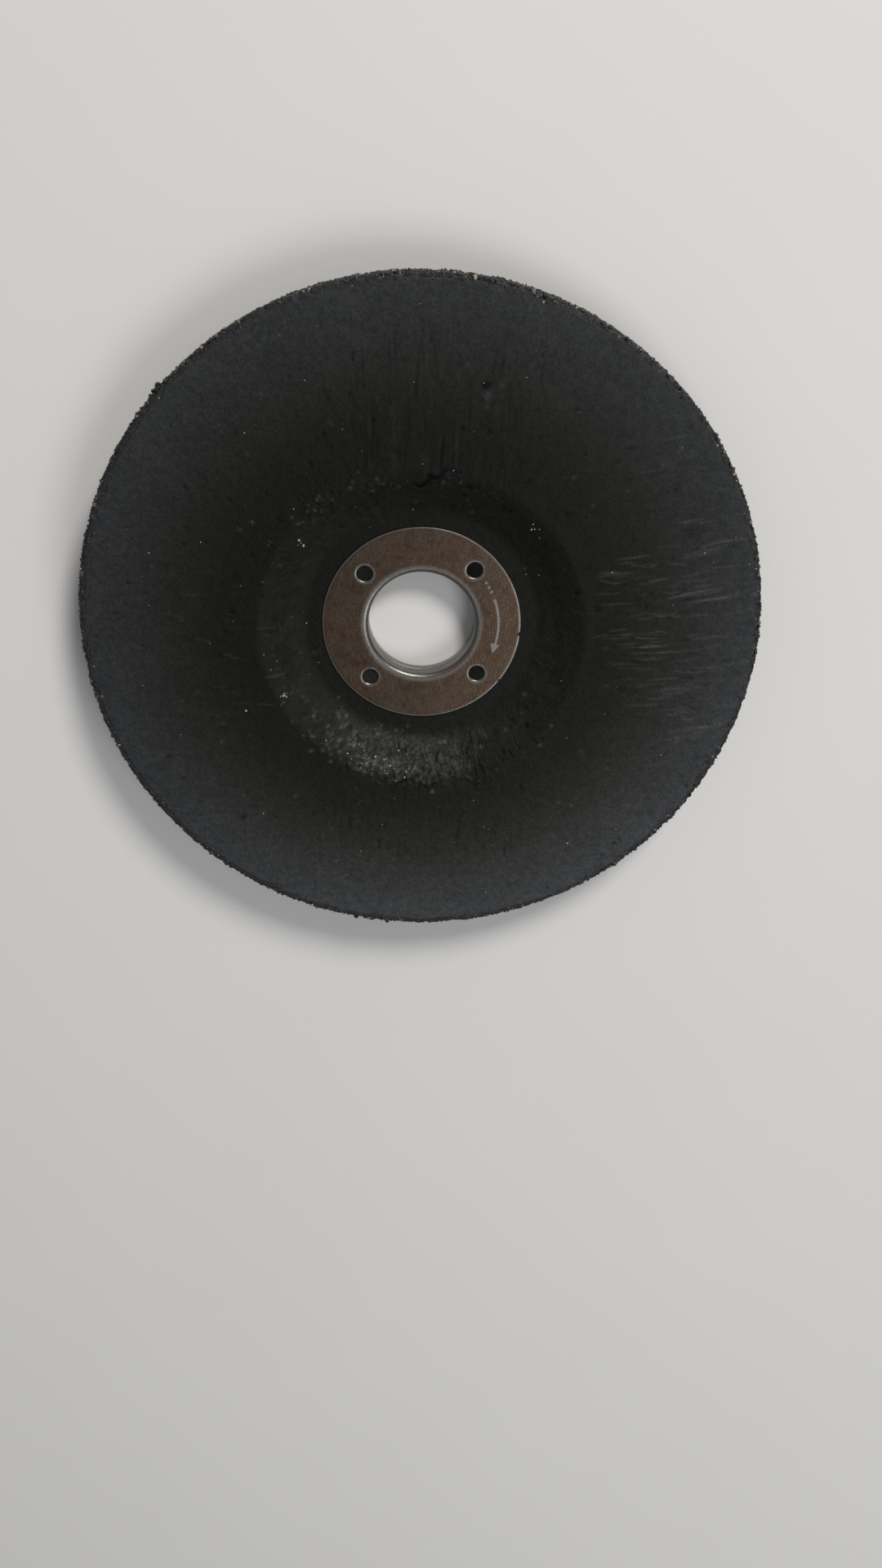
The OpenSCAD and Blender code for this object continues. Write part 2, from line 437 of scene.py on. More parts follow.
def steel_material(name, reflected_brown, bare, paints_brown_reflection):
    """Pressed sheet steel. On the front flange a brown tint paints a reflection of brown surroundings, and
    bare steel paints highlights on the bends, lips and edges.
    """
    n = Nodes(name)
    streak = n.noise(0.10 * MM, 3.0, 0.6, at=n.stretch((1, 14, 1)))
    stain = n.noise(1.8 * MM, 5.0, 0.62, 0.3)
    cloud = n.noise(6 * MM, 3.0, 0.5)
    speck = n.noise(0.20 * MM, 3.0, 0.6)
    steel = n.mix(stain, bare, tuple(0.6 * c for c in bare))
    if paints_brown_reflection:
        # Painted highlights: bare steel on the bend, the flange's edge and round the lips, broken by specks;
        # dust specks join them
        marks_and_painted_light = n.step(n.radius(), BEND_EDGE_R + 0.70 * MM, BEND_EDGE_R - 0.10 * MM)
        marks_and_painted_light = n.math("MAXIMUM", marks_and_painted_light, n.step(n.radius(), ring_high.x - 0.30 * MM, ring_high.x - 0.12 * MM))
        for x, y in PIERCED_PLACES:
            at_lip = n.step(n.near(x, y), LIP_EDGE_R + 0.30 * MM, LIP_EDGE_R - 0.10 * MM)
            marks_and_painted_light = n.math("MAXIMUM", marks_and_painted_light, at_lip)
        marks_and_painted_light = n.times(marks_and_painted_light, n.between(speck, 0.35, 1.1), clamp=True)
        dust = n.times(n.step(speck, 0.53, 0.63), n.step(stain, 0.40, 0.56))
        marks_and_painted_light = n.math("MAXIMUM", marks_and_painted_light, n.times(dust, 0.38))
        # Painted reflection: the brown tint and its redder clouds stand in for brown surroundings seen in the
        # steel
        red = (1.28 * reflected_brown[0], 0.93 * reflected_brown[1], 0.86 * reflected_brown[2])
        painted_reflection = n.mix(n.step(cloud, 0.34, 0.66), reflected_brown, red)
        # Light streaks, dim stains and dark specks: where, how strong, and the tint's brightness there
        marks = (
            (n.step(streak, 0.38, 0.62), 0.8, 1.6),
            (n.step(stain, 0.46, 0.26), 0.4, 0.6),
            (n.step(speck, 0.38, 0.30), 0.75, 0.3),
        )
        for where, strength, bright in marks:
            painted_reflection = n.mix(n.times(where, strength), painted_reflection, tuple(bright * c for c in reflected_brown))
        steel = n.mix(marks_and_painted_light, painted_reflection, steel)
    roughness = n.math("ADD", n.between(streak, 0.26, 0.44), n.between(stain, -0.06, 0.12))
    normal = n.bump(streak, 0.012 * MM)
    normal = n.bump(stain, 0.04 * MM, normal)
    return n.finish(steel, roughness, normal, Metallic=1.0)


def engraved_material():
    """Bright steel at the bottom of the pressed mark."""
    n = Nodes("steel_engraved")
    glint = n.noise(0.15 * MM, 3.0)
    color = n.mix(glint, (0.17, 0.155, 0.135), (0.34, 0.32, 0.285))
    return n.finish(color, n.between(glint, 0.3, 0.5), Metallic=1.0)


def yarn_material():
    """Glass yarn, yellow with resin and smeared with black compound in places."""
    n = Nodes("glass_yarn")
    along_x = n.noise(0.09 * MM, 3.0, at=n.stretch((12, 1, 1)))
    stain = n.noise(4 * MM, 4.0, 0.6)
    color = n.mix(stain, (0.17, 0.125, 0.055), (0.34, 0.27, 0.14))
    color = n.mix(n.step(n.noise(1.1 * MM, 3.0, 0.7), 0.5, 0.66), color, (0.03, 0.028, 0.024))
    strands = n.bump(along_x, 0.03 * MM)
    return n.finish(color, n.between(along_x, 0.35, 0.6), strands, Specular_IOR_Level=0.5)


def label_material():
    """Coated paper with a broad blue band and a narrow red one, scuffed in places."""
    n = Nodes("label_paper")
    fibre = n.noise(0.3 * MM, 4.0, 0.6)
    scuff = n.noise(5 * MM, 5.0, 0.65)
    r = n.radius()
    paper = n.mix(scuff, (0.50, 0.49, 0.45), (0.62, 0.61, 0.57))
    ink = n.mix(scuff, (0.035, 0.06, 0.11), (0.055, 0.085, 0.14))
    band = n.times(n.step(r, 24.6 * MM, 24.8 * MM), n.step(r, 33.4 * MM, 33.2 * MM))
    color = n.mix(band, paper, ink)
    stripe = n.times(n.step(r, 22.4 * MM, 22.6 * MM), n.step(r, 23.8 * MM, 23.6 * MM))
    color = n.mix(stripe, color, (0.30, 0.045, 0.03))
    color = n.mix(n.times(n.step(scuff, 0.6, 0.75), 0.35), color, (0.10, 0.095, 0.085))
    return n.finish(color, n.between(fibre, 0.38, 0.55), n.bump(fibre, 0.015 * MM), Specular_IOR_Level=0.45)


def chip_material():
    """Brown corundum."""
    n = Nodes("grain_chip")
    tone = n.noise(0.4 * MM, 3.0)
    color = n.mix(tone, (0.22, 0.13, 0.07), (0.50, 0.40, 0.30))
    return n.finish(color, n.between(tone, 0.35, 0.6), Specular_IOR_Level=0.5)


# -------- facing sheet


class Skin:
    """Height, and wear with painted light and shade, of the facing's outer surface, at points that are a grid
    of rings and angles.
    """

    def __init__(self, points):
        self.xy = points[..., :2]
        self.z = np.zeros(points.shape[:2])
        self.wear_and_painted_light = np.zeros(points.shape[:2])

    def near(self, low, high, reach):
        """Which points lie in the box from low to high, made larger by reach."""
        return ((self.xy > low - reach) & (self.xy < high + reach)).all(axis=-1)

    def line(self, line, width, height, wear_and_painted_light=0.0):
        """A crease or a crack along a line of (x, y) points. It fades out at both ends."""
        line = np.asarray(line)
        near = self.near(line.min(axis=0), line.max(axis=0), 3 * width)
        p = self.xy[near]
        best = np.full(len(p), np.inf)
        share = np.zeros(len(p))
        parts = len(line) - 1
        for i in range(parts):
            way = line[i + 1] - line[i]
            t = np.clip((p - line[i]) @ way / (way @ way), 0, 1)
            gap = np.linalg.norm(p - line[i] - t[:, None] * way, axis=1)
            closer = gap < best
            best[closer] = gap[closer]
            share[closer] = (i + t[closer]) / parts
        shape = np.exp(-((best / width) ** 2)) * np.sqrt(4 * share * (1 - share))
        self.z[near] += height * shape
        self.wear_and_painted_light[near] += wear_and_painted_light * shape

    def lump(self, centre, radius, height, wear_and_painted_light=0.0):
        """A round lump or, with a negative height, a pit."""
        centre = np.asarray(centre)
        near = self.near(centre, centre, 2.6 * radius)
        gap = np.linalg.norm(self.xy[near] - centre, axis=1)
        shape = np.exp(-((gap / radius) ** 2))
        self.z[near] += height * shape
        self.wear_and_painted_light[near] += wear_and_painted_light * shape


def spread_lines(rng, count, sector, reach, length, heading=None, scatter=5.0):
    """Slightly wavy lines scattered over a sector. Without a heading they run along the radius."""
    lines = []
    for _ in range(count):
        turn = rng.uniform(*sector)
        middle = around(rng.uniform(*reach) * MM, math.radians(turn))[:2]
        a = math.radians(rng.normal(turn if heading is None else heading, scatter))
        along = np.linspace(-0.5, 0.5, 5) * rng.uniform(*length) * MM
        off = rng.normal(0, 0.05, 5) * MM + rng.normal(0, 0.12) * np.cos(np.linspace(-2, 2, 5)) * MM
        way, side = np.array([math.cos(a), math.sin(a)]), np.array([-math.sin(a), math.cos(a)])
        lines.append(middle + along[:, None] * way + off[:, None] * side)
    return lines


def jagged(rng, corners, step, swing):
    """A line through corners given in millimetres, broken into short steps that swing to both sides."""
    corners = np.array(corners) * MM
    line = [corners[0]]
    for p, q in zip(corners[:-1], corners[1:]):
        count = max(1, round(np.linalg.norm(q - p) / (step * MM)))
        for i in range(1, count + 1):
            line.append(p + (q - p) * i / count + rng.normal(0, swing, 2) * MM)
    return line


# In millimetres from the axis: where the sheet tore and frayed as it was drawn into the recess, and where it
# puckered or was pricked
TEAR = [(5.6, 23.8), (4.3, 24.1), (3.2, 24.0), (2.4, 23.1), (1.2, 22.9), (-0.2, 21.3), (-1.4, 21.7)]
TEAR_BRANCH = [(2.5, 23.3), (2.6, 25.6), (2.9, 28.8)]
FRAYED_EDGE = [(-7.6, -22.6), (-6.0, -23.2), (-4.8, -25.3), (-2.0, -23.7), (0.8, -25.3), (3.0, -24.0)]
FRAYED_EDGE_RIGHT = [(3.0, -24.0), (4.7, -23.5), (6.5, -23.6), (8.3, -24.9), (10.4, -23.6)]
PUCKERS = [(-17.6, 14.6), (-15.7, 17.9), (-13.5, 20.1), (-9.6, 21.1), (-5.7, 21.7), (-1.3, 21.0)]
PUCKERS_RIGHT = [(1.5, 22.2), (3.4, 22.6), (6.5, 21.4), (9.3, 20.2), (12.6, 17.9)]
PIT = (8.7, 35.6)
# The largest pit and the lumps beside it: distance from PIT, radius and height in millimetres, and wear with
# painted light, which is painted shade in the pit
PIT_LUMPS = [(0, 0, 0.48, -0.26, -2.2), (0.15, -1.35, 0.55, 0.16, 0.6)]
PIT_LUMPS += [(0.05, -2.9, 0.40, 0.07, 0.4), (2.1, -0.1, 0.40, 0.05, 0.4)]
DARK_PITS = [(-24.4, 12.0), (-27.8, 3.4), (-15.6, 24.9), (-20.3, 17.0), (14.6, 22.4), (9.3, 29.4)]
DARK_PITS += [(20.5, 17.8), (22.6, 6.3), (25.6, 3.9), (16.2, -15.1), (12.6, -19.3), (-28.0, -30.4)]
DARK_PITS += [(-33.0, 21.6), (5.5, 29.8)]
SLOPE_LUMPS = 420
FACE_LUMPS = 260
FACE_PITS = 110


def crease(skin):
    """Creases in groups, then the tear and the frayed edge of the recess with their raised lips."""
    rng = np.random.default_rng(101)
    groups = [
        # count, sector in degrees, reach and length in mm, heading, scatter, width and height in mm, wear
        # with painted light (painted shade where negative)
        (34, (-18, 20), (25.5, 35), (1.6, 6.5), 3, 3, 0.13, 0.060, 0.50),
        (44, (-20, 25), (32, 43), (1.6, 6.5), 6, 3, 0.13, 0.060, 0.65),
        (40, (-24, 42), (40, 48.5), (1.5, 6.5), 9, 3, 0.14, 0.055, 0.6),
        (5, (-21, 18), (40, 47), (6.0, 9.0), 9, 1, 0.15, 0.090, 1.1),
        (70, (-30, 48), (25, 48), (0.8, 3.5), 6, 6, 0.20, -0.050, -0.6),
        (34, (163, 206), (22, 40), (0.8, 3.5), 178, 5, 0.15, 0.036, 0.32),
        (90, (62, 108), (24.5, 42), (1.5, 6.5), 89, 3, 0.22, -0.036, -0.45),
        (60, (60, 112), (24.5, 42), (1.5, 6.0), 89, 3, 0.26, 0.022, 0.1),
        (90, (240, 300), (24.5, 40), (1.0, 5.5), 90, 3, 0.20, -0.032, -0.40),
        (60, (0, 360), (24, 47), (1.0, 4.0), None, 6, 0.24, -0.020, -0.25),
        (46, (256, 322), (19.4, 24.8), (0.6, 2.2), None, 12, 0.15, -0.120, -1.2),
        (30, (225, 300), (19.0, 23.5), (0.6, 1.8), None, 14, 0.18, 0.060, 0.4),
        (24, (120, 165), (19, 27), (0.6, 2.0), None, 20, 0.17, -0.070, -0.8),
    ]
    for count, sector, reach, length, heading, scatter, width, height, wear_and_painted_light in groups:
        for line in spread_lines(rng, count, sector, reach, length, heading, scatter):
            strength = rng.uniform(0.35, 1.0) ** 1.2
            skin.line(line, width * rng.uniform(0.8, 1.25) * MM, strength * height * MM, strength * wear_and_painted_light)
    skin.line(jagged(rng, TEAR, 0.8, 0.16), 0.25 * MM, -0.2 * MM, -1.9)
    skin.line(jagged(rng, TEAR_BRANCH, 1.0, 0.10), 0.20 * MM, -0.12 * MM, -1.2)
    for corners, strength in ((FRAYED_EDGE, 1.0), (FRAYED_EDGE_RIGHT, 0.6)):
        line = jagged(rng, corners, 0.6, 0.18)
        for i in range(0, len(line) - 2, 2):
            gone = strength * rng.uniform(0.1, 1.0)
            skin.line(line[i : i + 3], 0.23 * MM, -0.20 * MM * gone, -1.9 * gone)
    to_lip = ((TEAR, (0.15, -0.48)), (FRAYED_EDGE, (0.0, 0.50)), (FRAYED_EDGE_RIGHT, (0.0, 0.50)))
    for corners, shift in to_lip:
        raised = np.array(jagged(rng, corners, 0.7, 0.14)) + np.array(shift) * MM
        for i in range(0, len(raised) - 2, 3):
            skin.line(raised[i : i + 3], 0.19 * MM, rng.uniform(0.05, 0.13) * MM, rng.uniform(0.1, 0.42))


def pucker(skin):
    """Small lumps and pits in the sheet, mostly on the slope of the recess."""
    rng = np.random.default_rng(131)
    for corners, count in ((PUCKERS, 80), (PUCKERS_RIGHT, 42)):
        line = np.array(corners)
        for _ in range(count):
            i = rng.integers(len(line) - 1)
            at = line[i] + (line[i + 1] - line[i]) * rng.uniform() + rng.normal(0, 0.55, 2)
            up = rng.choice((-1.0, 1.0), p=(0.45, 0.55))
            wear_and_painted_light = up * rng.uniform(0.0, 0.85) ** 1.4
            skin.lump(at * MM, rng.uniform(0.14, 0.34) * MM, up * rng.uniform(0.04, 0.13) * MM, wear_and_painted_light)
    for _ in range(SLOPE_LUMPS):
        turn = math.radians(rng.normal(250, 17))
        at = around(rng.normal(22.0, 1.5) * MM, turn)[:2]
        up = rng.choice((-1.0, 1.0), p=(0.5, 0.5))
        size, height, wear_and_painted_light = rng.uniform(0.13, 0.32), rng.uniform(0.03, 0.10), rng.uniform(0.1, 0.9)
        skin.lump(at, size * MM, up * height * MM, up * wear_and_painted_light)
    for _ in range(FACE_LUMPS):
        at = around(rng.uniform(16, 48.5) * MM, rng.uniform(0, TAU))[:2]
        up = rng.choice((-1.0, 0.8))
        size, height, wear_and_painted_light = rng.uniform(0.14, 0.30), rng.uniform(0.02, 0.07), rng.uniform(0.2, 0.9)
        skin.lump(at, size * MM, up * height * MM, up * wear_and_painted_light)
    pit = np.array(PIT) * MM
    for x, y, size, height, wear_and_painted_light in PIT_LUMPS:
        skin.lump(pit + (x * MM, y * MM), size * MM, height * MM, wear_and_painted_light)
    for x, y in DARK_PITS:
        skin.lump((x * MM, y * MM), rng.uniform(0.26, 0.42) * MM, -0.14 * MM, -1.3)
    for _ in range(FACE_PITS):
        at = around(rng.uniform(18, 48) * MM, rng.uniform(0, TAU))[:2]
        skin.lump(at, rng.uniform(0.16, 0.32) * MM, -0.10 * MM, -rng.uniform(0.6, 1.3))


FACING_LEAST_T = 0.02 * MM
FINE_SECTORS = [(-30, 48), (58, 160), (163, 206), (225, 318)]
FINE_STEP, COARSE_STEP = 0.2, 0.4


def facing_angles():
    """Angles of the sheet's points: closer together where creases cross them."""
    angles, a = [], -30.0
    while a < 330.0:
        angles.append(a)
        a += FINE_STEP if any(low <= a < high for low, high in FINE_SECTORS) else COARSE_STEP
    return np.radians(np.array(angles))


def facing_stops():
    """Radii of the sheet's rings: closest together on the slope of the recess."""
    under_flange = [BEND_EDGE_R, 14.5 * MM, 15.6 * MM]
    slope = np.arange(16.6, 25.8, 0.22) * MM
    face = np.arange(26, 40, 0.40) * MM
    outer_face = np.arange(40, 48.4, 0.6) * MM
    return np.concatenate([under_flange, slope, face, outer_face])


def facing_sheet(material):
    """The sheet, clamped flat under the flange and free to crease outside it. Its edge wanders a little."""
    angles = facing_angles()
    edge = FACING_R + 0.22 * MM * rough(around(WHEEL_R, angles), 1.5 * MM, 5, 3)
    edge = np.clip(edge, 0, WHEEL_R - 0.25 * MM)
    last = 48.6 * MM
    stops = facing_stops()
    r = np.repeat(stops[:, None], len(angles), axis=1)
    r = np.concatenate([r, [np.full(len(angles), last)], [(last + 2 * edge) / 3], [edge]])
    turn = np.broadcast_to(angles[None, :], r.shape)
    points = around(r, turn)
    free = smooth(15.2 * MM, 16.6 * MM, r)
    skin = Skin(points)
    crease(skin)
    pucker(skin)
    slope = bump_between(18.5 * MM, 24 * MM, 2.5 * MM, r)
    long_ripple = np.stack([np.cos(turn) * 24, np.sin(turn) * 24, r / (7 * MM)], axis=-1)
    skin.z += 0.05 * MM * rough(points, 7 * MM, 11, 3)
    skin.z += slope * 0.07 * MM * noise(long_ripple, 1.3, 21)
    skin.z += 0.012 * MM * rough(points, 0.9 * MM, 23, 2)
    z = FLOOR_Z + dish(r) + free * skin.z
    z -= 0.06 * MM * smooth(edge - 0.6 * MM, edge, r)
    z = np.maximum(z, facing_low.z + dish(r) + FACING_LEAST_T)
    top = around(r, turn, z)
    curved = [i for i, stop in enumerate(stops) if 16.4 * MM < stop < 26 * MM and i % 3 == 0]
    under = [0, *curved, len(stops) - 1, len(r) - 1]
    bottom = [around(r[i], angles, facing_low.z + dish(r[i])) for i in under]
    piece = ring_solid("facing_sheet", [*bottom, *top[::-1]], [material])
    wear_and_painted_light = piece.data.attributes.new("wear_and_painted_light", "FLOAT", "POINT")
    marks_and_painted_light = np.concatenate([np.zeros(len(bottom) * len(angles)), (free * skin.wear_and_painted_light)[::-1].ravel()])
    wear_and_painted_light.data.foreach_set("value", marks_and_painted_light.astype(np.float32))
    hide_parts("facing")


# -------- compound layers

GRIT_ANGLES = full_turn(1400)
RIM_R = WHEEL_R - 0.05 * MM  # of the rough rim wall, before its grit
WALL_GRIT = 0.19 * MM
UNDER_RIM_R = WHEEL_R - 0.6 * MM  # where the hidden joint between the two layers ends
SLOPE_STOPS = np.linspace(FLOOR_R, SHOULDER_R, 9)


def on_dish(z, stops):
    """Points of a half section that follow the slope of the dish, from height z at the hub."""
    return [(r, z + dish(r)) for r in stops]


def gritty(points, depth, seed):
    """Displacement of a broken abrasive surface, between about -depth and depth."""
    lump = rough(points, 0.8 * MM, seed, 3)
    return depth * (0.75 * lump + 0.25 * np.sign(lump) * np.abs(noise(points, 0.35 * MM, seed + 9)))


def wall_rings(r, low, high, steps, corner_low, corner_high, seed):
    """Rings of a rough rim wall from low up to high, with rounded corners where asked."""
    rings = []
    for z in np.linspace(low, high, steps):
        p = around(r, GRIT_ANGLES, z)
        inset = 0.0
        for at, corner in ((low, corner_low), (high, corner_high)):
            if corner:
                reach = min(abs(z - at), corner)
                inset += corner - math.sqrt(corner**2 - (corner - reach) ** 2)
        rings.append(around(r - inset + gritty(p, WALL_GRIT, seed), GRIT_ANGLES, z))
    return rings


def grinding_layer(material):
    """The grinding layer: a rough rim wall and bare edge, and smooth faces where other layers cover it."""
    low, high = GRINDING_Z + RECESS_DEPTH, grinding_high.z
    back = [(TUBE_R, GRINDING_Z)]
    back += on_dish(GRINDING_Z, SLOPE_STOPS)
    back += [(UNDER_RIM_R, low)]
    rings = revolve(back, GRIT_ANGLES)
    rings += wall_rings(RIM_R, low, high, 12, 0, 0.25 * MM, 51)
    for r in np.linspace(WHEEL_R - 0.35 * MM, WHEEL_R - 1.9 * MM, 8):
        p = around(r, GRIT_ANGLES, high)
        rings.append(around(r, GRIT_ANGLES, high + 0.03 * MM + gritty(p, 0.10 * MM, 52)))
    sheet_z = facing_low.z - 0.01 * MM
    covered = [(WHEEL_R - 2.4 * MM, high - 0.02 * MM)]
    covered += on_dish(sheet_z, SLOPE_STOPS[::-1])
    covered += [(BEND_EDGE_R, sheet_z), (TUBE_R, FLANGE_TOP - BEND_R)]
    rings += revolve(covered, GRIT_ANGLES)
    piece = ring_solid("grinding_layer_grit", rings, [material])
    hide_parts("grinding_layer")


def rear_layer(material):
    """The rear layer. Compound fills the openings of the rear mesh, a little below the yarns' outer faces."""
    rim_z = REAR_Z + RECESS_DEPTH
    top = GRINDING_Z
    fill = 0.17 * MM
    back = [(TUBE_R, BEND_R), (BEND_EDGE_R, REAR_Z + fill)]
    back += on_dish(REAR_Z + fill, SLOPE_STOPS)
    rings = revolve(back, GRIT_ANGLES)
    for r in np.linspace(LABEL_R - 1 * MM, WHEEL_R - 1.0 * MM, 38):
        p = around(r, GRIT_ANGLES, rim_z)
        depth = fill * (1 - smooth(MESH_R - 0.4 * MM, MESH_R, r))
        rings.append(around(r, GRIT_ANGLES, rim_z + depth + gritty(p, 0.06 * MM, 61)))
    rings += wall_rings(RIM_R, rim_z, rim_z + (GRINDING_Z - REAR_Z), 11, 0.3 * MM, 0, 62)
    front = [(UNDER_RIM_R, top + RECESS_DEPTH)]
    front += on_dish(top, SLOPE_STOPS[::-1])
    front += [(TUBE_R, top)]
    rings += revolve(front, GRIT_ANGLES)
    piece = ring_solid("rear_layer_grit", rings, [material])
    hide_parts("rear_layer")


def icosahedron():
    """Corners on a unit sphere, and faces. An edge is 1.05 long and the next shortest distance is 1.7."""
    golden = (1 + math.sqrt(5)) / 2
    v = []
    for a, b in itertools.product((-1, 1), (-golden, golden)):
        v += [(0, a, b), (a, b, 0), (b, 0, a)]
    v = np.array(v) / math.hypot(1, golden)
    faces = []
    for i, j, k in itertools.combinations(range(len(v)), 3):
        if all(np.linalg.norm(v[p] - v[q]) < 1.1 for p, q in ((i, j), (j, k), (i, k))):
            out = np.dot(np.cross(v[j] - v[i], v[k] - v[i]), v[i] + v[j] + v[k]) > 0
            faces.append((i, j, k) if out else (i, k, j))
    return v, np.array(faces)


def random_turns(rng, count):
    """Random rotation matrices, from random quaternions."""
    q = rng.normal(size=(count, 4))
    w, x, y, z = (q / np.linalg.norm(q, axis=1)[:, None]).T
    return np.stack(
        [
            1 - 2 * (y * y + z * z), 2 * (x * y - z * w), 2 * (x * z + y * w),
            2 * (x * y + z * w), 1 - 2 * (x * x + z * z), 2 * (y * z - x * w),
            2 * (x * z - y * w), 2 * (y * z + x * w), 1 - 2 * (x * x + y * y),
        ],
        axis=1,
    ).reshape(-1, 3, 3)


def grains(name, places, sizes, rng, materials, kind):
    """One mesh of angular grains. Each takes the material whose number is its kind."""
    count = len(places)
    v, faces = icosahedron()
    shape = v[None] * rng.uniform(0.72, 1.25, (count, len(v), 1)) * rng.uniform(0.6, 1.25, (count, 1, 3))
    shape = np.einsum("nij,nvj->nvi", random_turns(rng, count), shape) * sizes[:, None, None] / 2
    points = shape + places[:, None, :]
    index = (faces[None] + (np.arange(count) * len(v))[:, None, None]).reshape(-1, 3)
    piece = new_object(name, points, index.tolist(), materials, smooth_faces=False)
    piece.data.polygons.foreach_set("material_index", np.repeat(kind, len(faces)).astype(np.int32))


WALL_GRAINS = 3600
EDGE_GRAINS = 1700
CLUMP_GRAINS = 14
CLUMP_TURN = math.radians(136)


def rim_grains(materials):
    """Grains that stand out of the rim wall and of the bare edge round the facing, and one clump of them."""
    rng = np.random.default_rng(71)
    turn = rng.uniform(0, TAU, WALL_GRAINS)
    low, high = rear_low.z + RECESS_DEPTH, grinding_high.z
    z = rng.uniform(low + 0.1 * MM, high - 0.05 * MM, WALL_GRAINS)
    wall_sizes = rng.uniform(0.55, 0.95, WALL_GRAINS) ** 2 * MM
    wall = around(WHEEL_R - 0.04 * MM - wall_sizes * 0.22, turn, z)
    turn = rng.uniform(0, TAU, EDGE_GRAINS)
    edge_sizes = rng.uniform(0.2, 0.6, EDGE_GRAINS) * MM
    r = WHEEL_R - 0.15 * MM - rng.uniform(0, 1, EDGE_GRAINS) ** 1.3 * MM
    edge = around(r, turn, high - 0.02 * MM - edge_sizes * 0.18)
    r = WHEEL_R + rng.uniform(-0.5, 0.35, CLUMP_GRAINS) * MM
    clump = around(r, CLUMP_TURN + rng.normal(0, 0.009, CLUMP_GRAINS), 0)
    clump[:, 2] = high - rng.uniform(0.0, 1.4, CLUMP_GRAINS) * MM
    clump_sizes = rng.uniform(0.5, 0.95, CLUMP_GRAINS) * MM
    places = np.concatenate([wall, edge, clump])
    sizes = np.concatenate([wall_sizes, edge_sizes, clump_sizes])
    kind = rng.choice(3, len(places), p=(0.90, 0.08, 0.02))
    grains("rim_grains", places, sizes, rng, materials, kind)


def on_facing(xy, size):
    """Places of chips that lie on the facing, half sunk in it."""
    r = np.hypot(xy[:, 0], xy[:, 1])
    return np.column_stack([xy, FLOOR_Z + dish(r) + 0.12 * size])


# In millimetres from the axis: clusters of chips, with how many chips each holds, and lone glints
CHIP_CLUSTERS = [(-20.9, -10.2, 9), (-17.1, 13.3, 3), (15.9, 15.8, 4), (-21.6, -4.6, 1)]
LONE_GLINTS = [(4.4, 24.1), (8.4, 35.9), (27.5, 9.5), (40.6, 12.4), (-26.5, -12.2)]
SLOPE_GLINTS = 54
FACE_GLINTS = 110


def stray_chips(materials):
    """Small chips of abrasive that show through the facing or stick to it, and pale grains that paint glints.
    """
    rng = np.random.default_rng(81)
    near = []
    for x, y, count in CHIP_CLUSTERS:
        near.append(np.array([x, y]) + rng.normal(0, 0.42 if count > 1 else 0.02, (count, 2)))
    near = np.concatenate(near) * MM
    near_size = rng.uniform(0.18, 0.46, len(near)) * MM
    turn = np.radians(rng.normal(249, 8, SLOPE_GLINTS))
    slope_glint = around(rng.normal(22.2, 1.0, SLOPE_GLINTS) * MM, turn)[:, :2]
    slope_glint_size = rng.uniform(0.25, 0.62, SLOPE_GLINTS) ** 2 * MM
    r = np.sqrt(rng.uniform(16**2, 48.5**2, FACE_GLINTS)) * MM
    loose = around(r, rng.uniform(0, TAU, FACE_GLINTS))[:, :2]
    loose_size = rng.uniform(0.08, 0.24, FACE_GLINTS) * MM
    lone = np.array(LONE_GLINTS) * MM
    xy = np.concatenate([near, slope_glint, loose, lone])
    size = np.concatenate([near_size, slope_glint_size, loose_size, np.full(len(lone), 0.32 * MM)])
    glints = np.ones(len(slope_glint) + len(loose) + len(lone), int)
    kind = np.concatenate([rng.choice(2, len(near), p=(0.8, 0.2)), glints])
    grains("stray_chips", on_facing(xy, size), size, rng, materials, kind)


# -------- glass mesh

MESH_PITCH = 5.2 * MM
WEFT_W = 1.1 * MM
WARP_W = 0.65 * MM
YARN_T = 0.14 * MM
WEAVE_LIFT = 0.13 * MM  # of a warp yarn over or under a weft yarn
YARN_STEP = 0.6 * MM
SECTION = full_turn(8)
LABEL_SINKS = 0.10 * MM  # how far the label presses the yarns in
MIDDLE_MESH_DEPTH = 0.21 * MM  # below the grinding layer


def yarn(rng, offset, along, width, weave, middle_z, sunk):
    """Rings of points round one flat yarn on the dish, along X or Y. The label presses it in by sunk."""
    half = math.sqrt(max(MESH_R**2 - offset**2, 0)) - 0.2 * MM
    gap = math.sqrt(max((BEND_EDGE_R + 0.4 * MM) ** 2 - offset**2, 0))
    pieces = [(-half, -gap), (gap, half)] if gap else [(-half, half)]
    made = []
    for start, end in pieces:
        t = np.linspace(start, end, max(4, round((end - start) / YARN_STEP)))
        here = np.stack([t, t * 0 + offset, t * 0], axis=-1)
        side = offset + 0.07 * MM * noise(here, 5 * MM, int(rng.integers(999)))
        wide = width * (0.5 + 0.07 * noise(here[:, [0, 2, 1]], 2 * MM, 7))
        a, b = np.cos(SECTION), np.sin(SECTION)
        across = side[:, None] + wide[:, None] * a
        run = t[:, None] + 0 * across
        reach = np.hypot(run, across)
        lift = weave * WEAVE_LIFT * np.cos(math.pi * t / MESH_PITCH)
        up = middle_z + dish(reach) + lift[:, None] + 0.5 * YARN_T * b
        up = up + sunk * (1 - smooth(LABEL_R - 1.2 * MM, LABEL_R, reach))
        made.append(np.stack([run, across, up] if along == "x" else [across, run, up], axis=-1))
    return made


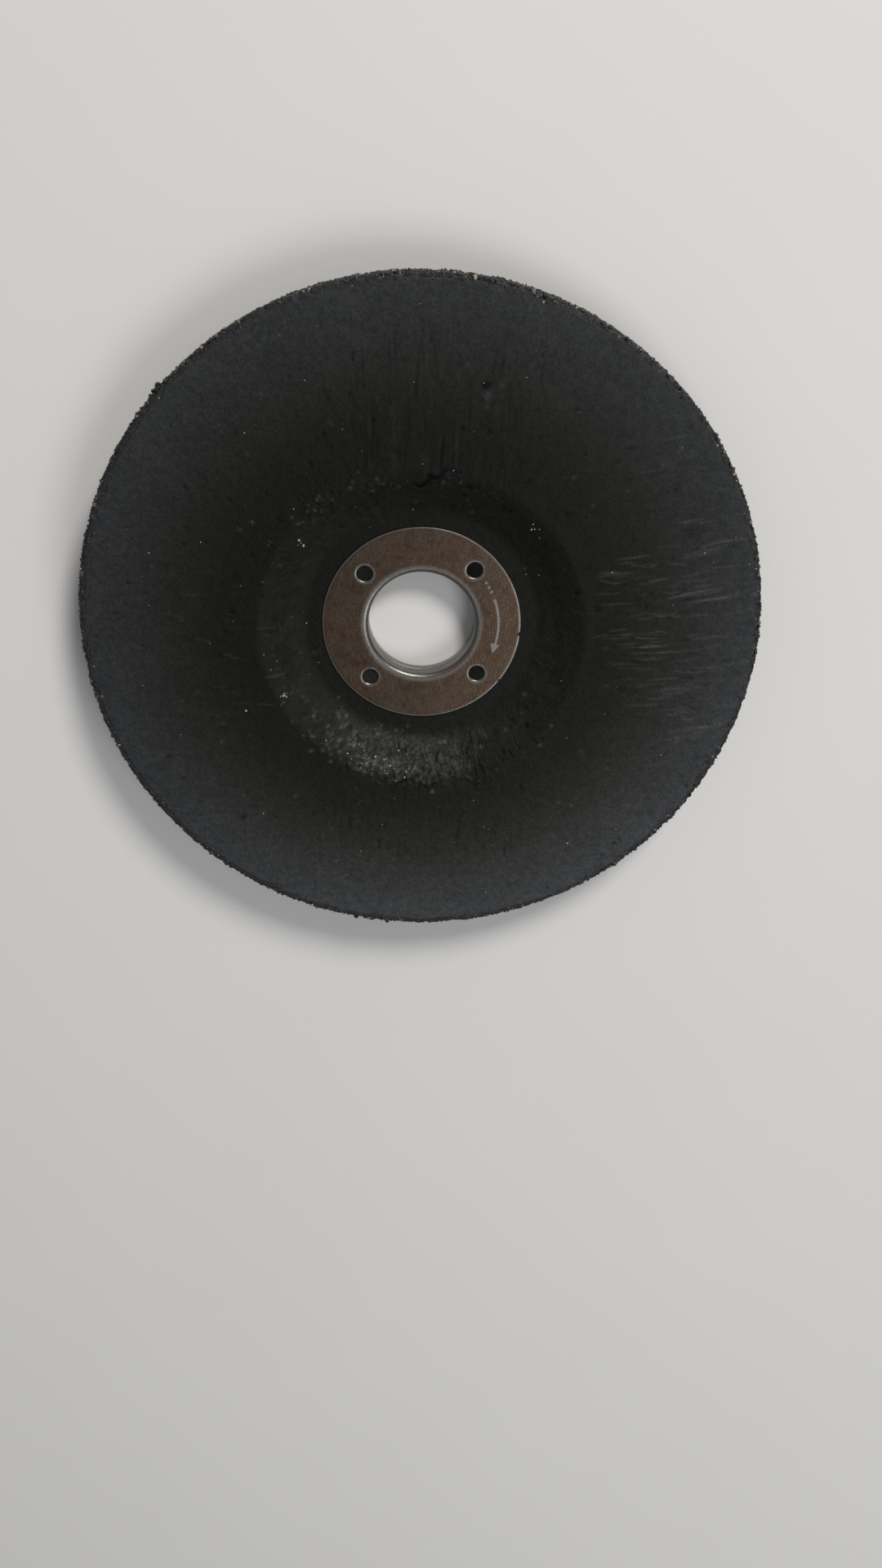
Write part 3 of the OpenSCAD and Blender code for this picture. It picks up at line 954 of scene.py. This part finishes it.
def woven_mesh(name, seed, middle_z, sunk, nodes, material):
    """A disc of open glass mesh: single weft yarns, and warp yarns in pairs that pass over and under them."""
    rng = np.random.default_rng(seed)
    count = int(MESH_R / MESH_PITCH)
    tubes = []
    for k in range(-count, count + 1):
        tubes += yarn(rng, k * MESH_PITCH, "x", WEFT_W, 0, middle_z, sunk)
        for side in (-0.5, 0.5):
            over = 2 * side * (-1) ** k
            tubes += yarn(rng, k * MESH_PITCH + side * WARP_W, "y", WARP_W, over, middle_z, sunk)
    vertices, faces, base = [], [], 0
    n = len(SECTION)
    for tube in tubes:
        rings = len(tube)
        sides = ring_faces(rings, n)[: (rings - 1) * n]
        faces += [[base + corner for corner in side] for side in sides]
        faces.append(tuple(base + j for j in range(n)))
        faces.append(tuple(base + (rings - 1) * n + j for j in reversed(range(n))))
        vertices.append(tube.reshape(-1, 3))
        base += rings * n
    piece = new_object(name, np.concatenate(vertices), faces, [material])
    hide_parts(*nodes)


# -------- steel rings

RING_ANGLES = full_turn(360)
FLANGE_EDGE_R = 0.06 * MM  # of the small rounding at a flange's edge
SHARP_DEGREES = 35
HOLE_TURNS = full_turn(40)


def ring_profile(flange_r, top, tube_end, edge):
    """Half section of a pressed ring: tube, bend, flange with rounded edges, and back to the tube's end."""
    centre = (BEND_EDGE_R, top - BEND_R)
    profile = [(TUBE_R - 0.05 * MM, tube_end), (TUBE_R, tube_end + 0.05 * MM)]
    profile += arc(centre, BEND_R - STEEL_T, 180, 90, 6)
    profile += arc((flange_r - edge, top - STEEL_T + edge), edge, -90, 0, 3)
    profile += arc((flange_r - edge, top - edge), edge, 0, 90, 4)
    profile += [(r, top) for r in np.linspace(flange_r - 0.6 * MM, BEND_EDGE_R + 0.5 * MM, 6)]
    profile += arc(centre, BEND_R, 90, 180, 12)
    profile += [(BORE_R, tube_end + 0.04 * MM), (BORE_R + 0.04 * MM, tube_end)]
    return profile


def lip(x, y):
    """Lip turned in round one pierced hole, as points and faces. It stands a little proud of the flange."""
    out = LIP_EDGE_R - PIERCED_R
    centre_z = FLANGE_TOP - out
    proud = 0.012 * MM
    bottom = FLANGE_TOP - LIP_LEN
    outside = LIP_EDGE_R + 0.03 * MM
    profile = [(PIERCED_R + LIP_T, bottom)]
    profile += arc((LIP_EDGE_R, centre_z), out - LIP_T, 180, 90, 4)
    profile += [(outside, FLANGE_TOP - LIP_T), (outside, FLANGE_TOP + proud)]
    profile += arc((LIP_EDGE_R, centre_z + proud), out, 90, 180, 8)
    profile += [(PIERCED_R, bottom)]
    rings = [ring + np.array([x, y, 0]) for ring in revolve(profile, HOLE_TURNS)]
    return np.concatenate(rings), ring_faces(len(rings), len(HOLE_TURNS))


def prism(name, outline, low, high, materials):
    """Upright prism over an outline of (x, y) points that runs anticlockwise."""
    n = len(outline)
    v = [(x, y, low) for x, y in outline] + [(x, y, high) for x, y in outline]
    faces = [tuple(range(n - 1, -1, -1)), tuple(range(n, 2 * n))]
    faces += [(i, (i + 1) % n, n + (i + 1) % n, n + i) for i in range(n)]
    return new_object(name, v, faces, materials, body=None, smooth_faces=False)


def sector_outline(r, half, start, end, steps):
    """Outline of a strip along an arc, as (x, y) points that run anticlockwise."""
    turns = np.linspace(start, end, steps)
    return np.concatenate([around(r + half, turns)[:, :2], around(r - half, turns[::-1])[:, :2]])


def flange_marks():
    """Outlines of the pressed marks: a curved arrow that shows the way the wheel turns, and three dots."""
    start, end = MARK_START, MARK_START + MARK_SWEEP
    marks = [sector_outline(MARK_R, 0.2 * MM, start - 0.008, end, 30)]
    head = np.array([(-0.75, 0.1), (0, -1.5), (0.75, 0.1)]) * MM + (MARK_R, 0)
    marks.append(head @ np.array([[math.cos(start), math.sin(start)], [-math.sin(start), math.cos(start)]]))
    for i in (1, 2, 3):
        centre = around(MARK_R, end + math.radians(2 + 4 * i))[:2]
        marks.append(around(0.25 * MM, full_turn(14))[:, :2] + centre)
    return marks


def front_ring(steel, engraved):
    """The flanged ring with its pierced holes, their lips, the pressed mark and the nicks in its edge."""
    profile = ring_profile(ring_high.x, FLANGE_TOP, ring_low.z, FLANGE_EDGE_R)
    piece = ring_solid("front_ring_pressed", revolve(profile, RING_ANGLES), [steel, engraved])
    below, above = FLANGE_TOP - 2 * STEEL_T, FLANGE_TOP + STEEL_T
    for place in PIERCED_PLACES:
        circle = around(LIP_EDGE_R, HOLE_TURNS)[:, :2] + place
        cut(piece, prism("hole", circle, below, above, [steel]))
    for degrees, size in NICKS:
        centre = around(ring_high.x + 0.14 * MM, math.radians(degrees))[:2]
        nick = around(size * MM, full_turn(6))[:, :2] + centre
        cut(piece, prism("nick", nick, below, above, [steel]))
    for outline in flange_marks():
        cut(piece, prism("mark", outline, FLANGE_TOP - MARK_DEPTH, above, [engraved]))
    lips = [lip(x, y) for x, y in PIERCED_PLACES]
    count = len(lips[0][0])
    faces = [[i + k * count for i in face] for k, (_, made) in enumerate(lips) for face in made]
    points = np.concatenate([points for points, _ in lips])
    lip_piece = new_object("front_ring_lips", points, faces, [steel])
    shade_by_angle(piece)
    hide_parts("front_ring")


def rear_ring(steel):
    """The rear ring, which is the front ring's profile upside down."""
    profile = ring_profile(rear_ring_high.x, 0.0, -rear_ring_high.z, FLANGE_EDGE_R)
    profile = [(r, -z) for r, z in reversed(profile)]
    piece = ring_solid("rear_ring_pressed", revolve(profile, RING_ANGLES), [steel])
    shade_by_angle(piece)
    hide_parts("rear_ring")


def shade_by_angle(piece):
    """Smooth shading, except over sharp edges."""
    piece.data.set_sharp_from_angle(angle=math.radians(SHARP_DEGREES))


# -------- label


def label_sheet(material):
    """The label, with shallow pleats where flat paper was pressed over the raised hub."""
    angles = full_turn(720)
    stops = np.concatenate([[BEND_EDGE_R, 12 * MM], np.linspace(13 * MM, LABEL_R - 0.3 * MM, 60)])
    edge = LABEL_R - 0.12 * MM + 0.05 * MM * noise(around(LABEL_R, angles), 2 * MM, 91)
    r = np.concatenate([np.repeat(stops[:, None], len(angles), 1), edge[None]])
    turn = np.broadcast_to(angles[None, :], r.shape)
    points = around(r, turn)
    pleat = np.stack([np.cos(turn) * 15, np.sin(turn) * 15, r / (9 * MM)], axis=-1)
    z = LABEL_Z + dish(r)
    free = smooth(14 * MM, 17 * MM, r)
    pleated = free * bump_between(18 * MM, 24 * MM, 4 * MM, r)
    z -= pleated * 0.12 * MM * np.maximum(0, noise(pleat, 1.0, 92))
    z += free * 0.03 * MM * rough(points, 6 * MM, 93, 3)
    kept = [0, *range(8, 40, 2), len(r) - 1]
    under = [around(r[i], angles, z[i] + LABEL_T) for i in kept]
    outer = around(r, turn, z)
    piece = ring_solid("label_sheet", [*outer, *under[::-1]], [material])
    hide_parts("label")


# -------- stage, light and camera

FLOOR_HALF = 2.0
WORLD_COLOR = (0.93, 0.95, 1.0, 1.0)
WORLD_STRENGTH = 0.23
# name, azimuth and elevation in degrees, distance and size in metres, power in watts, colour
LIGHTS = [
    ("key", 66, 37, 0.9, 0.26, 5.6, (1.0, 0.98, 0.95)),
    ("side", -40, 55, 0.8, 0.45, 1.8, (0.97, 0.98, 1.0)),
]
LENS = 30.0
SENSOR_WIDTH = 36.0
CAMERA_PLACE = (-0.51 * MM, 65.15 * MM, FACING_TOP + 182.47 * MM)
TILT_BACK = math.radians(26.18)
TILT_SIDE = math.radians(1.0)


def stage():
    """A plain pale floor that the wheel lies on."""
    n = Nodes("floor_pale")
    color = n.mix(n.noise(0.05, 3.0), (0.735, 0.725, 0.705), (0.76, 0.75, 0.73))
    material = n.finish(color, 0.65, Specular_IOR_Level=0.3)
    s = FLOOR_HALF
    corners = [(-s, -s, 0), (s, -s, 0), (s, s, 0), (-s, s, 0)]
    floor = new_object("floor", corners, [(0, 1, 2, 3)], [material], body=None, smooth_faces=False)


def area_light(name, azimuth, elevation, distance, size, power, color):
    """A round soft light that points at the origin."""
    a, e = math.radians(azimuth), math.radians(elevation)
    way = Vector((math.cos(a) * math.cos(e), math.sin(a) * math.cos(e), math.sin(e)))
    data = bpy.data.lights.new(name, "AREA")
    data.shape = "DISK"
    data.size, data.energy, data.color = size, power, color
    light = bpy.data.objects.new(name, data)
    light.location = way * distance
    light.rotation_mode = "QUATERNION"
    light.rotation_quaternion = way.to_track_quat("Z", "Y")
    bpy.context.scene.collection.objects.link(light)


def lights():
    world = bpy.data.worlds.new("studio")
    bpy.context.scene.world = world
    world.use_nodes = True
    background = world.node_tree.nodes["Background"]
    background.inputs["Color"].default_value = WORLD_COLOR
    background.inputs["Strength"].default_value = WORLD_STRENGTH
    for light in LIGHTS:
        area_light(*light)


def camera():
    """Looks down on the grinding face from above its +Y side."""
    data = bpy.data.cameras.new("camera")
    data.lens = LENS
    data.sensor_width = SENSOR_WIDTH
    data.clip_start = 0.005
    cam = bpy.data.objects.new("camera", data)
    bpy.context.scene.collection.objects.link(cam)
    turn = Matrix.Rotation(-TILT_BACK, 4, "X") @ Matrix.Rotation(-TILT_SIDE, 4, "Y")
    cam.matrix_world = Matrix.Translation(CAMERA_PLACE) @ turn
    bpy.context.scene.camera = cam
    bpy.context.scene.view_settings.view_transform = "Standard"


# -------- the whole

camera()
lights()
stage()

compound = compound_material("compound_black", (0.006, 0.006, 0.0065), (0.022, 0.022, 0.023), (0.40, 0.8))
resin_grain = compound_material("grain_coated", (0.006, 0.006, 0.007), (0.02, 0.02, 0.022), (0.20, 0.55))
# Pale grains whose colour paints glints of light
glint = compound_material("grain_glint", (0.16, 0.16, 0.155), (0.62, 0.62, 0.60), (0.12, 0.35))
bare_grain = compound_material("grain_bare", (0.09, 0.075, 0.06), (0.30, 0.27, 0.24), (0.12, 0.35))
chip = chip_material()
# The front ring's brown tint is a painted reflection of brown surroundings
steel = steel_material("steel_brown_reflection", (0.069, 0.0515, 0.0365), (0.30, 0.288, 0.268), True)
bare_steel = steel_material("steel_bare", None, (0.34, 0.33, 0.315), False)
glass = yarn_material()

facing_sheet(facing_material())
grinding_layer(compound)
rear_layer(compound)
rim_grains([resin_grain, bare_grain, chip])
stray_chips([chip, glint])
front_ring(steel, engraved_material())
rear_ring(bare_steel)
label_sheet(label_material())

mesh_parts = ("upper_warp", "weft", "lower_warp")
rear_nodes = [f"rear_mesh_{part}" for part in mesh_parts]
middle_nodes = [f"middle_mesh_{part}" for part in mesh_parts]
rear_z = (yarn_low.z + mesh_high.z - RECESS_DEPTH + YARN_T) / 2
woven_mesh("rear_mesh", 111, rear_z, LABEL_SINKS, rear_nodes, glass)
woven_mesh("middle_mesh", 112, GRINDING_Z - MIDDLE_MESH_DEPTH, 0, middle_nodes, glass)
